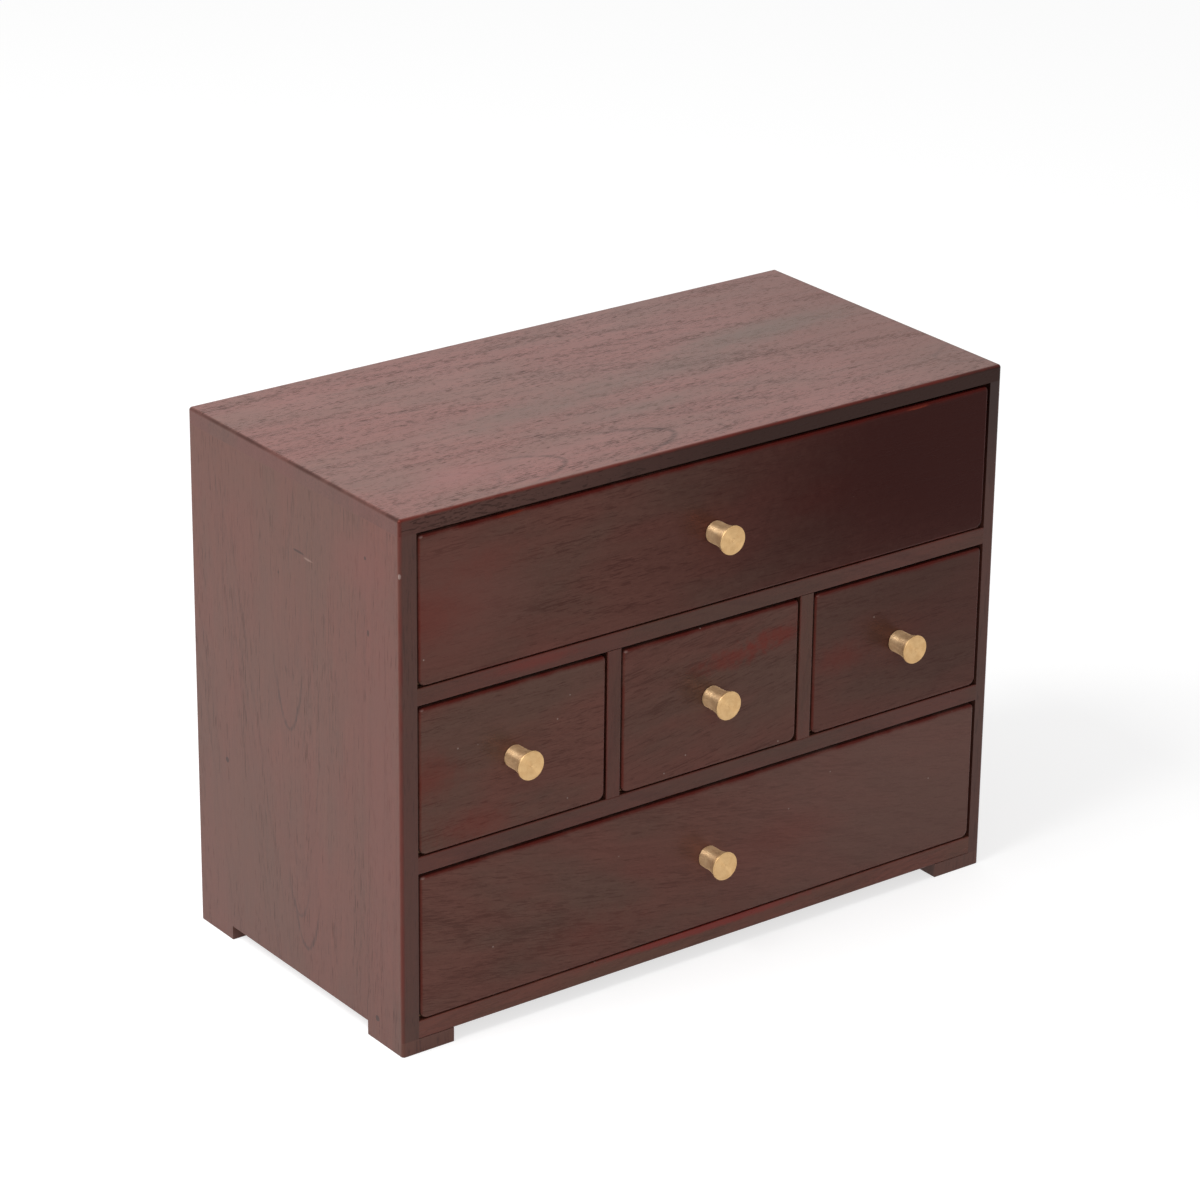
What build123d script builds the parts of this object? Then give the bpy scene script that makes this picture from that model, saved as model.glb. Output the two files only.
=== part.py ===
from build123d import *
import os

# A desk-top chest of five small drawers, in millimetres.
# X runs along the front from left to right, Y from front to back, Z up.
# The origin is under the middle of the whole object, knobs included, on the surface it stands on.

# carcass
carcass_width = 305.0
carcass_depth = 152.0
top_thickness = 7.0
left_side_thickness = 8.0
right_side_thickness = 6.0
bottom_thickness = 8.0
shelf_thickness = 7.5
divider_thickness = 7.0
back_board_thickness = 3.0
back_rebate = 3.0
top_row_height = 65.3
middle_row_height = 65.3
bottom_row_height = 65.3
foot_height = 6.5
foot_length = 25.0
foot_depth = 25.0
outer_edge_radius = 1.4
frame_edge_radius = 0.5
foot_edge_radius = 0.4

# drawers
side_gap = 0.8
top_gap = 1.3
running_gap = 0.3
stop_gap = 0.5
front_thickness = 8.0
front_lip = 3.0
front_lower_corner = 3.6
front_upper_corner = 2.0
front_edge_radius = 1.2
box_inset = 0.3
box_drop = 5.0
box_side_thickness = 5.0
box_back_thickness = 5.0
box_edge_radius = 0.6
tray_thickness = 3.0
tray_groove_depth = 2.5
tray_groove_height = 4.0

# turned knob and its machine screw
knob_length = 12.0
knob_body_radius = 4.8
knob_body_length = 4.5
knob_head_radius = 6.25
knob_rim = 0.8
knob_base_edge = 0.5
knob_face_edge = 0.3
knob_dimple_radius = 0.7
knob_dimple_depth = 0.25
knob_thread_depth = 7.5
screw_radius = 2.0
screw_clearance = 0.2
screw_engagement = 6.5
screw_head_radius = 3.8
screw_head_height = 2.2
screw_head_round = 0.7
screw_slot_width = 1.0
screw_slot_depth = 1.1

# headed pins, and the blind dowels under the top board
pin_radius = 0.8
pin_head_radius = 1.3
pin_head_height = 0.8
pin_length = 20.0
foot_pin_length = 13.0
foot_pin_step = 6.0
pin_front_distance = 18.0
pin_back_distance = 24.0
dowel_radius = 1.5
dowel_length = 12.0
dowel_rise = 4.0
small_pin_radius = 0.5
small_pin_head_radius = 0.9
small_pin_head_height = 0.5
small_pin_length = 11.0
small_pin_end_distance = 12.0

# levels and planes worked out from the sizes above
left_edge = -carcass_width / 2
right_edge = carcass_width / 2
face_y = -(carcass_depth - knob_length) / 2
back_y = face_y + carcass_depth
board_back_y = back_y - back_board_thickness
opening_left = left_edge + left_side_thickness
opening_right = right_edge - right_side_thickness
small_opening = (opening_right - opening_left - 2 * divider_thickness) / 3
bottom_top = foot_height + bottom_thickness
lower_shelf_bottom = bottom_top + bottom_row_height
lower_shelf_top = lower_shelf_bottom + shelf_thickness
upper_shelf_bottom = lower_shelf_top + middle_row_height
upper_shelf_top = upper_shelf_bottom + shelf_thickness
top_bottom = upper_shelf_top + top_row_height
total_height = top_bottom + top_thickness
left_divider_x = opening_left + small_opening
right_divider_x = opening_right - small_opening - divider_thickness

os.makedirs("parts", exist_ok=True)


def save(name, piece):
    piece.part.label = name
    export_step(piece.part, f"parts/{name}.step")


def block(x_range, y_range, z_range, mode=Mode.ADD):
    """Adds, or cuts, a square-cornered board between two X, two Y and two Z values."""
    ranges = (x_range, y_range, z_range)
    middle = [(low + high) / 2 for low, high in ranges]
    sizes = [high - low for low, high in ranges]
    with Locations(tuple(middle)):
        Box(*sizes, mode=mode)


def nail(place, size):
    """Adds one headed pin whose head lies flush with the surface that place looks out of."""
    shank, head, head_height, length = size
    with Locations(place.location):
        Cylinder(shank, length, align=(Align.CENTER, Align.CENTER, Align.MAX))
        Cylinder(head, head_height, align=(Align.CENTER, Align.CENTER, Align.MAX))


def drill(places, size):
    """Cuts the holes that the pins at these places sit in."""
    shank, head, head_height, length = size
    with Locations([place.location for place in places]):
        CounterBoreHole(shank, head, head_height, length)


def dowels_at_places(mode=Mode.ADD):
    """Adds the dowels under the top board, or cuts the blind holes that they fill."""
    with Locations([place.location for place in dowel_places]):
        along = (Align.CENTER, Align.CENTER, Align.MAX)
        Cylinder(dowel_radius, dowel_length, align=along, mode=mode)


long_pin = (pin_radius, pin_head_radius, pin_head_height, pin_length)
foot_pin = (pin_radius, pin_head_radius, pin_head_height, foot_pin_length)
small_pin = (small_pin_radius, small_pin_head_radius, small_pin_head_height, small_pin_length)


# ---- where the carcass pins go
def out_of(point, direction):
    return Plane(origin=point, z_dir=direction)


pin_rows_y = (face_y + pin_front_distance, back_y - pin_back_distance)
shelf_middles = (
    foot_height + bottom_thickness / 2,
    lower_shelf_bottom + shelf_thickness / 2,
    upper_shelf_bottom + shelf_thickness / 2,
)
left_pins = [out_of((left_edge, y, z), (-1, 0, 0)) for z in shelf_middles for y in pin_rows_y]
right_pins = [out_of((right_edge, y, z), (1, 0, 0)) for z in shelf_middles for y in pin_rows_y]
side_middles = (left_edge + left_side_thickness / 2, right_edge - right_side_thickness / 2)
dowel_top = top_bottom + dowel_rise
dowel_places = [out_of((x, y, dowel_top), (0, 0, 1)) for x in side_middles for y in pin_rows_y]
divider_middles = (
    left_divider_x + divider_thickness / 2,
    right_divider_x + divider_thickness / 2,
)
upper_divider_pins = [
    out_of((x, y, upper_shelf_top), (0, 0, 1)) for x in divider_middles for y in pin_rows_y
]
lower_divider_pins = [
    out_of((x, y, lower_shelf_bottom), (0, 0, -1)) for x in divider_middles for y in pin_rows_y
]
back_pins = [
    out_of((x, back_y, z), (0, 1, 0))
    for z in shelf_middles
    for x in (opening_left + pin_front_distance, *divider_middles, opening_right - pin_front_distance)
]
foot_x = (left_edge + foot_length / 2, right_edge - foot_length / 2)
foot_y = (face_y + foot_depth / 2, back_y - foot_depth / 2)
foot_pins_x = (opening_left + foot_pin_step / 2, opening_right - foot_pin_step / 2)
foot_pins = [
    out_of((x + inward * way * foot_pin_step / 2, y + (way - 1) * foot_pin_step / 2, 0), (0, 0, -1))
    for x, inward in zip(foot_pins_x, (1, -1))
    for y in foot_y
    for way in (0, 2)
]


# ---- carcass
def make_top_panel():
    with BuildPart() as top_panel:
        block((left_edge, right_edge), (face_y, back_y), (top_bottom, total_height))
        upright = top_panel.edges().filter_by(Axis.Z)
        rim = top_panel.faces().sort_by(Axis.Z)[-1].edges()
        fillet(upright + rim, outer_edge_radius)
        dowels_at_places(Mode.SUBTRACT)
    save("top_panel", top_panel)


def make_side_panel(name, outer_x, inner_x, pins):
    """A side board with its two outer corners rounded and a rebate for the back board."""
    inward = 1 if inner_x > outer_x else -1
    with BuildPart() as side_panel:
        with BuildSketch(Plane.XY.offset(foot_height)):
            with BuildLine():
                Polyline(
                    (outer_x, face_y),
                    (inner_x, face_y),
                    (inner_x, board_back_y),
                    (inner_x - inward * back_rebate, board_back_y),
                    (inner_x - inward * back_rebate, back_y),
                    (outer_x, back_y),
                    close=True,
                )
            make_face()
        extrude(amount=top_bottom - foot_height)
        upright = side_panel.edges().filter_by(Axis.Z)
        fillet(upright.sort_by(Axis.X)[::inward][:2], outer_edge_radius)
        drill(pins, long_pin)
        dowels_at_places(Mode.SUBTRACT)
    save(name, side_panel)


def make_shelf(name, z_range):
    """A level board between the sides, with its front edges eased and every pin hole that meets it."""
    with BuildPart() as shelf:
        block((opening_left, opening_right), (face_y, board_back_y), z_range)
        front_edges = shelf.edges().filter_by(Axis.X).group_by(Axis.Y)[0]
        fillet(front_edges, frame_edge_radius)
        drill(left_pins + right_pins, long_pin)
        drill(upper_divider_pins + lower_divider_pins, long_pin)
        drill(foot_pins, foot_pin)
        drill(back_pins, small_pin)
    save(name, shelf)


def make_divider(name, left_x):
    with BuildPart() as divider:
        block(
            (left_x, left_x + divider_thickness),
            (face_y, board_back_y),
            (lower_shelf_top, upper_shelf_bottom),
        )
        front_edges = divider.edges().filter_by(Axis.Z).group_by(Axis.Y)[0]
        fillet(front_edges, frame_edge_radius)
        drill(upper_divider_pins, long_pin)
        drill(lower_divider_pins, long_pin)
    save(name, divider)


def make_back_panel():
    with BuildPart() as back_panel:
        block(
            (opening_left - back_rebate, opening_right + back_rebate),
            (board_back_y, back_y),
            (foot_height, top_bottom),
        )
        drill(back_pins, small_pin)
    save("back_panel", back_panel)


def make_foot(name, x_middle, y_middle):
    """A thin square block, flush with the carcass's outer faces."""
    with BuildPart() as foot:
        block(
            (x_middle - foot_length / 2, x_middle + foot_length / 2),
            (y_middle - foot_depth / 2, y_middle + foot_depth / 2),
            (0, foot_height),
        )
        outer_x = 1 if x_middle > 0 else -1
        outer_y = 1 if y_middle > face_y + carcass_depth / 2 else -1
        upright = foot.edges().filter_by(Axis.Z).sort_by(Axis.X)[::outer_x][-2:]
        fillet(upright.sort_by(Axis.Y)[::outer_y][-1], outer_edge_radius)
        fillet(foot.faces().sort_by(Axis.Z)[0].edges(), foot_edge_radius)
        drill(foot_pins, foot_pin)
    save(name, foot)


def make_carcass_pins():
    with BuildPart() as pins:
        for place in left_pins + right_pins + upper_divider_pins + lower_divider_pins:
            nail(place, long_pin)
        for place in foot_pins:
            nail(place, foot_pin)
    save("carcass_pins", pins)


def make_top_dowels():
    with BuildPart() as dowels:
        dowels_at_places()
    save("top_dowels", dowels)


def make_back_pins():
    with BuildPart() as pins:
        for place in back_pins:
            nail(place, small_pin)
    save("back_panel_pins", pins)


# ---- one drawer: a front board, a pinned box behind it, and a turned knob
def make_front(name, front_x, front_z, inner_x, tray_z, knob_middle, pins):
    """A front board with a lip over the box sides and a groove for the tray board."""
    lip_y = face_y + front_lip
    inner_face_y = face_y + front_thickness
    with BuildPart() as front:
        with BuildSketch(Plane.XZ.offset(-lip_y)) as outline:
            with Locations(((front_x[0] + front_x[1]) / 2, (front_z[0] + front_z[1]) / 2)):
                Rectangle(front_x[1] - front_x[0], front_z[1] - front_z[0])
            fillet(outline.vertices().group_by(Axis.Y)[0], front_lower_corner)
            fillet(outline.vertices().group_by(Axis.Y)[-1], front_upper_corner)
        extrude(amount=front_lip)
        fillet(front.faces().sort_by(Axis.Y)[0].edges(), front_edge_radius)
        block(inner_x, (lip_y, inner_face_y), front_z)
        block(inner_x, (inner_face_y - tray_groove_depth, inner_face_y), tray_z, Mode.SUBTRACT)
        with Locations(out_of((knob_middle[0], inner_face_y, knob_middle[1]), (0, 1, 0)).location):
            Hole(screw_radius + screw_clearance, front_thickness)
        drill(pins, small_pin)
    save(name, front)


def make_box_side(name, outer_x, inner_x, y_range, z_range, tray_y, tray_z, pins):
    """One side of the box, with its top edges eased and a groove for the tray board."""
    inward = 1 if inner_x > outer_x else -1
    groove_x = sorted((inner_x, inner_x - inward * tray_groove_depth))
    with BuildPart() as side:
        block(sorted((outer_x, inner_x)), y_range, z_range)
        fillet(side.faces().sort_by(Axis.Z)[-1].edges().filter_by(Axis.Y), box_edge_radius)
        block(groove_x, tray_y, tray_z, Mode.SUBTRACT)
        drill(pins, small_pin)
    save(name, side)


def make_box_board(name, x_range, y_range, z_range, pins):
    """A plain board of the box, with the pin holes that meet it."""
    with BuildPart() as board:
        block(x_range, y_range, z_range)
        drill(pins, small_pin)
    save(name, board)


def make_knob(name, middle):
    """A turned knob: a short cylinder that sweeps out in a hollow curve to a thin flat head."""
    outward = Plane(origin=(middle[0], face_y, middle[1]), x_dir=(1, 0, 0), z_dir=(0, 0, -1))
    head_start = knob_length - knob_rim
    with BuildPart() as knob:
        with BuildSketch(outward):
            with BuildLine():
                Polyline(
                    (0, knob_length - knob_dimple_depth),
                    (0, 0),
                    (knob_body_radius - knob_base_edge, 0),
                    (knob_body_radius, knob_base_edge),
                    (knob_body_radius, knob_body_length),
                )
                TangentArc(
                    (knob_body_radius, knob_body_length),
                    (knob_head_radius, head_start),
                    tangent=(0, 1),
                )
                Polyline(
                    (knob_head_radius, head_start),
                    (knob_head_radius, knob_length - knob_face_edge),
                    (knob_head_radius - knob_face_edge, knob_length),
                    (knob_dimple_radius, knob_length),
                    (0, knob_length - knob_dimple_depth),
                )
            make_face()
        revolve(axis=Axis((middle[0], face_y, middle[1]), (0, 1, 0)))
        with Locations(out_of((middle[0], face_y, middle[1]), (0, 1, 0)).location):
            Hole(screw_radius, knob_thread_depth)
    save(name, knob)


def make_knob_screw(name, middle):
    """A slotted pan-head screw from inside the drawer, through the front into the knob."""
    inner_face_y = face_y + front_thickness
    outward = Plane(origin=(middle[0], inner_face_y, middle[1]), x_dir=(1, 0, 0), z_dir=(0, 0, -1))
    head_back_y = inner_face_y + screw_head_height
    with BuildPart() as screw:
        with BuildSketch(outward):
            with BuildLine():
                Polyline(
                    (screw_head_radius, -screw_head_height + screw_head_round),
                    (screw_head_radius, 0),
                    (screw_radius, 0),
                    (screw_radius, front_thickness + screw_engagement),
                    (0, front_thickness + screw_engagement),
                    (0, -screw_head_height),
                    (screw_head_radius - screw_head_round, -screw_head_height),
                )
                RadiusArc(
                    (screw_head_radius - screw_head_round, -screw_head_height),
                    (screw_head_radius, -screw_head_height + screw_head_round),
                    -screw_head_round,
                )
            make_face()
        revolve(axis=Axis((middle[0], inner_face_y, middle[1]), (0, 1, 0)))
        block(
            (middle[0] - screw_head_radius, middle[0] + screw_head_radius),
            (head_back_y - screw_slot_depth, head_back_y),
            (middle[1] - screw_slot_width / 2, middle[1] + screw_slot_width / 2),
            Mode.SUBTRACT,
        )
    save(name, screw)


def make_drawer(name, x_range, z_range):
    """All the pieces of the drawer that fills the opening between these X and Z values."""
    front_x = (x_range[0] + side_gap, x_range[1] - side_gap)
    front_z = (z_range[0] + running_gap, z_range[1] - top_gap)
    box_x = (front_x[0] + box_inset, front_x[1] - box_inset)
    inner_x = (box_x[0] + box_side_thickness, box_x[1] - box_side_thickness)
    box_z = (front_z[0], front_z[1] - box_drop)
    rear_y = board_back_y - stop_gap
    back_inner_y = rear_y - box_back_thickness
    tray_z = (front_z[0] + tray_groove_height, front_z[0] + tray_groove_height + tray_thickness)
    tray_y = (face_y + front_thickness - tray_groove_depth, rear_y)
    box_y = (face_y + front_lip, rear_y)
    middle = ((front_x[0] + front_x[1]) / 2, (front_z[0] + front_z[1]) / 2)

    pin_levels = (box_z[0] + small_pin_end_distance, box_z[1] - small_pin_end_distance)
    pin_columns = (face_y + (front_lip + front_thickness) / 2, (rear_y + back_inner_y) / 2)
    corner_pins = [
        out_of((x, y, z), (way, 0, 0))
        for x, way in zip(box_x, (-1, 1))
        for y in pin_columns
        for z in pin_levels
    ]
    tray_pins = [
        out_of((x, pin_columns[1], tray_z[0]), (0, 0, -1))
        for x in (inner_x[0] + small_pin_end_distance, inner_x[1] - small_pin_end_distance)
    ]

    make_front(f"{name}_front", front_x, front_z, inner_x, tray_z, middle, corner_pins)
    for side, way in (("left", 0), ("right", 1)):
        make_box_side(
            f"{name}_{side}_side", box_x[way], inner_x[way], box_y, box_z, tray_y, tray_z, corner_pins
        )
    make_box_board(
        f"{name}_back", inner_x, (back_inner_y, rear_y), (tray_z[1], box_z[1]), corner_pins + tray_pins
    )
    tray_x = (inner_x[0] - tray_groove_depth, inner_x[1] + tray_groove_depth)
    make_box_board(f"{name}_bottom", tray_x, tray_y, tray_z, tray_pins)
    make_knob(f"{name}_knob", middle)
    make_knob_screw(f"{name}_knob_screw", middle)
    with BuildPart() as pins:
        for place in corner_pins + tray_pins:
            nail(place, small_pin)
    save(f"{name}_pins", pins)


make_top_panel()
make_side_panel("left_side_panel", left_edge, opening_left, left_pins)
make_side_panel("right_side_panel", right_edge, opening_right, right_pins)
make_shelf("bottom_panel", (foot_height, bottom_top))
make_shelf("lower_shelf", (lower_shelf_bottom, lower_shelf_top))
make_shelf("upper_shelf", (upper_shelf_bottom, upper_shelf_top))
make_divider("left_divider", left_divider_x)
make_divider("right_divider", right_divider_x)
make_back_panel()
for depth_name, foot_middle_y in zip(("front", "back"), foot_y):
    for side_name, foot_middle_x in zip(("left", "right"), foot_x):
        make_foot(f"{depth_name}_{side_name}_foot", foot_middle_x, foot_middle_y)
make_carcass_pins()
make_top_dowels()
make_back_pins()

middle_row = (lower_shelf_top, upper_shelf_bottom)
drawer_openings = {
    "top_drawer": ((opening_left, opening_right), (upper_shelf_top, top_bottom)),
    "middle_left_drawer": ((opening_left, left_divider_x), middle_row),
    "middle_centre_drawer": ((left_divider_x + divider_thickness, right_divider_x), middle_row),
    "middle_right_drawer": ((right_divider_x + divider_thickness, opening_right), middle_row),
    "bottom_drawer": ((opening_left, opening_right), (bottom_top, lower_shelf_bottom)),
}
for drawer_name, (opening_x, opening_z) in drawer_openings.items():
    make_drawer(drawer_name, opening_x, opening_z)
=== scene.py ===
import math

import bpy
import numpy as np
from mathutils import Matrix, Vector


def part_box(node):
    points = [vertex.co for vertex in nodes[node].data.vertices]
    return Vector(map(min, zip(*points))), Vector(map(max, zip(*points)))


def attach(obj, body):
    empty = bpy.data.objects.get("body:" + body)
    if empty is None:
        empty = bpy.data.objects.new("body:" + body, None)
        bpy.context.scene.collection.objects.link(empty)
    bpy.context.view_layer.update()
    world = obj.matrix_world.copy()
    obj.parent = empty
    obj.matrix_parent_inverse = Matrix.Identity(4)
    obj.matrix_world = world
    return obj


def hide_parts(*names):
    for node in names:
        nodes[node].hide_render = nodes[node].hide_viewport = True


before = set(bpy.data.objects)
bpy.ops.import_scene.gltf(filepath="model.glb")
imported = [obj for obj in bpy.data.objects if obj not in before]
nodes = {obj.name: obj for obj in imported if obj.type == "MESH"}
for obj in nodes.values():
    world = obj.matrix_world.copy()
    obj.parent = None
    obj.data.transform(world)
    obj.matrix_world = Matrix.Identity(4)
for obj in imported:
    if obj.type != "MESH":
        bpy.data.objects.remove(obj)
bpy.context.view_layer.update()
mm = 0.001
drawerNames = ["top_drawer", "middle_left_drawer", "middle_centre_drawer", "middle_right_drawer",
               "bottom_drawer"]
print("frame loaded:", len(nodes), "nodes")


# Shader helpers. Any input may be a number, a colour or another node's socket.
def plug(tree, socket, value):
    # a socket is linked, a plain value is set; a colour gets its fourth value, 1
    if isinstance(value, bpy.types.NodeSocket):
        tree.links.new(value, socket)
    elif isinstance(value, tuple) and socket.type == "RGBA" and len(value) == 3:
        socket.default_value = (*value, 1.0)
    else:
        socket.default_value = value


def calc(tree, operation, *inputs):
    # one Math node: the operation on its inputs
    node = tree.nodes.new("ShaderNodeMath")
    node.operation = operation
    for socket, value in zip(node.inputs, inputs):
        plug(tree, socket, value)
    return node.outputs[0]


def times(tree, first, second):
    # first times second
    return calc(tree, "MULTIPLY", first, second)


def total(tree, *values):
    # the sum of all the values
    result = values[0]
    for value in values[1:]:
        result = calc(tree, "ADD", result, value)
    return result


def vector(tree, x, y, z):
    # three values as one vector
    node = tree.nodes.new("ShaderNodeCombineXYZ")
    for socket, value in zip(node.inputs, (x, y, z)):
        plug(tree, socket, value)
    return node.outputs[0]


def noise(tree, place, detail=2.0, roughness=0.5):
    # fractal noise about 0.5, one bump for each unit of the place vector
    node = tree.nodes.new("ShaderNodeTexNoise")
    plug(tree, node.inputs["Vector"], place)
    node.inputs["Scale"].default_value = 1.0
    node.inputs["Detail"].default_value = detail
    node.inputs["Roughness"].default_value = roughness
    return node.outputs["Fac"]


def ramp(tree, value, low, high, start=0.0, end=1.0):
    # runs smoothly from start to end while the value runs from low to high, and stays there outside
    node = tree.nodes.new("ShaderNodeMapRange")
    node.interpolation_type = "SMOOTHSTEP"
    for name, given in (("Value", value), ("From Min", low), ("From Max", high),
                        ("To Min", start), ("To Max", end)):
        plug(tree, node.inputs[name], given)
    return node.outputs["Result"]


def blend(tree, share, first, second):
    # first colour times (1 - share) plus second colour times share
    node = tree.nodes.new("ShaderNodeMix")
    node.data_type = "RGBA"
    plug(tree, node.inputs["Factor"], share)
    colours = [s for s in node.inputs if s.type == "RGBA"]
    plug(tree, colours[0], first)
    plug(tree, colours[1], second)
    return [s for s in node.outputs if s.type == "RGBA"][0]


def brighten(tree, colour, factor):
    # every channel of the colour times the factor
    node = tree.nodes.new("ShaderNodeVectorMath")
    node.operation = "SCALE"
    plug(tree, node.inputs[0], colour)
    plug(tree, node.inputs["Scale"], factor)
    return node.outputs[0]


def bump(tree, height, distance, under=None):
    # tilts the surface normal as if the surface stood up by height times distance
    node = tree.nodes.new("ShaderNodeBump")
    node.inputs["Distance"].default_value = distance
    plug(tree, node.inputs["Height"], height)
    if under is not None:
        plug(tree, node.inputs["Normal"], under)
    return node.outputs["Normal"]


def newFinish(name):
    # an empty material with one Principled shader, and its node tree
    material = bpy.data.materials.new(name)
    material.use_nodes = True
    tree = material.node_tree
    tree.nodes.clear()
    shader = tree.nodes.new("ShaderNodeBsdfPrincipled")
    output = tree.nodes.new("ShaderNodeOutputMaterial")
    tree.links.new(shader.outputs["BSDF"], output.inputs["Surface"])
    return material, tree, shader


def objectPlace(tree):
    # object coordinates in millimetres, as three separate values
    coordinates = tree.nodes.new("ShaderNodeTexCoord")
    parts = tree.nodes.new("ShaderNodeSeparateXYZ")
    tree.links.new(coordinates.outputs["Object"], parts.inputs[0])
    return dict(zip("xyz", [times(tree, socket, 1.0 / mm) for socket in parts.outputs]))


def scaled(tree, place, factor):
    # the place in millimetres times the factor, as one vector
    return vector(tree, *[times(tree, place[axis], factor) for axis in "xyz"])


def faceGap(tree, place, low, high, face):
    # distance inward from one face of a box, named by its axis and end, such as "y-" or "z+"
    axis, i = face[0], "xyz".index(face[0])
    if face[1] == "-":
        return total(tree, place[axis], -low[i])
    return total(tree, times(tree, place[axis], -1.0), high[i])


# Stained and lacquered boards. Lengths are in millimetres of the row's frame. A board's figure is a
# family of nested tongues along its centre line: every place with the same
#   way * along + steep * (sqrt(round^2 + sideways^2) - round)
# lies on one tongue, and the tongues differ in tone and in how many pores they hold.
boardLook = {
    "along": "x", "across": "z", "seed": 1.0, "tilt": 0.0,
    "red": (0.105, 0.0165, 0.0095), "olive": (0.050, 0.0190, 0.0105), "deep": (0.022, 0.0060, 0.0042),
    "pink": (0.150, 0.0300, 0.0200),
    "oliveShare": 0.55, "pinkShare": 0.25, "tone": 1.0, "toneSwing": 0.5, "faceTones": (),
    "centre": 0.0, "lean": 0.0, "way": 1.0, "steep": 4.0, "round": 14.0, "tongueShow": 0.25,
    "poreShow": 0.35, "poreAmount": 0.0, "poreAlong": 0.22, "poreAcross": 1.5,
    "edges": (), "gloss": 0.24, "bend": 1.43, "sheenTint": (1.0, 1.0, 1.0), "wave": 0.10, "dust": 0.0,
}
# The noises of a board. Each row is bumps for each millimetre along the grain, the same across it, what is
# added to the seed, detail and roughness.
woodNoise = {
    "wander": (0.010, 0.035, 0.0, 2.0, 0.5), "ripple": (0.05, 0.22, 4.0, 2.0, 0.5),
    "bands": (0.045, 0.01, 9.0, 3.0, 0.6), "streets": (0.010, 0.17, 21.0, 3.0, 0.6),
    "clouds": (0.011, 0.032, 33.0, 4.0, 0.55), "blush": (0.016, 0.028, 39.0, 3.0, 0.5),
    "fibres": (0.035, 1.3, 5.0, 3.0, 0.6), "speckle": (0.45, 1.5, 45.0, 3.0, 0.7),
    "softSpeckle": (0.05, 0.30, 51.0, 3.0, 0.6),
}
# The steps of a board's formulas. Names that end in Ramp hold where a smooth ramp starts and ends, and after
# these its two values where they aren't 0 and 1. Names that end in Bumps are bumps for each millimetre.
woodRule = {
    "seedStep": 37.0, "sway": (9.0, 1.4), "slant": 3.0, "ringRamp": (0.50, 0.64),
    "poreSway": 0.3, "poreSlant": 1.2, "dashes": ((1.8, 1.5, 0.0), (0.8, 1.0, 14.0)),
    "crowd": (0.05, 0.45, -0.235), "coarseRamp": (0.60, 0.68), "fineRamp": (0.61, 0.71), "fineShow": 0.75,
    "endRamp": (0.1, 1.0, 0.15, 1.0), "cloudRamp": (0.40, 0.62), "blushRamp": (0.48, 0.70),
    "shades": (1.0, 0.8, 0.9, 0.5),
    "tipSway": 2.0, "tipFray": 3.0, "tipGapRamp": (0.38, 0.58, 0.3, 1.0), "tipFade": 0.2,
    "tornBumps": 0.35, "faceRamp": (0.1, 1.2), "edgePatchBumps": 0.045, "dustBumps": 0.075,
    "dustRamp": (0.035, 0.015), "poreGloss": 0.12, "speckleGloss": 0.08, "waveBumps": 0.03,
    "fibreDepth": 0.2, "poreDepth": 0.025,
}
edgeRule = {"least": 0.35, "fallRamp": (1.25, 0.25), "patchRamp": (0.28, 0.6, 0.35, 1.0)}


def edgeMask(tree, place, low, high, faces, width, edgePatches):
    # an edge is where the distances to two of the listed faces are both small: the second smallest
    #     # distance, divided by width * (patch noise + least), fades from full to none, and the patch noise
    #     thins
    #     # it in patches; the same mask serves worn edges and a painted shadow along the drawer fronts' tops
    gaps = []
    for axis in "xyz":
        away = [faceGap(tree, place, low, high, axis + end) for end in "-+" if axis + end in faces]
        if away:
            gaps.append(calc(tree, "MINIMUM", *away) if len(away) == 2 else away[0])
    second = calc(tree, "MAXIMUM", gaps[0], gaps[1])
    if len(gaps) == 3:
        smaller = calc(tree, "MINIMUM", gaps[0], gaps[1])
        second = calc(tree, "MAXIMUM", smaller, calc(tree, "MINIMUM", second, gaps[2]))
    reach = times(tree, total(tree, edgePatches, edgeRule["least"]), width)
    near = ramp(tree, calc(tree, "DIVIDE", second, reach), *edgeRule["fallRamp"])
    return times(tree, near, ramp(tree, edgePatches, *edgeRule["patchRamp"]))


def grainNoise(tree, name, along, across, seed, depth=None):
    # the named noise at (along times its first number, across times its second, seed plus its third);
    # a given depth is added to the last, so that the noise also changes through the board
    perAlong, perAcross, shift, detail, roughness = woodNoise[name]
    third = seed + shift if depth is None else total(tree, depth, seed + shift)
    return noise(tree, vector(tree, times(tree, along, perAlong), times(tree, across, perAcross), third),
                 detail, roughness)


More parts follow.
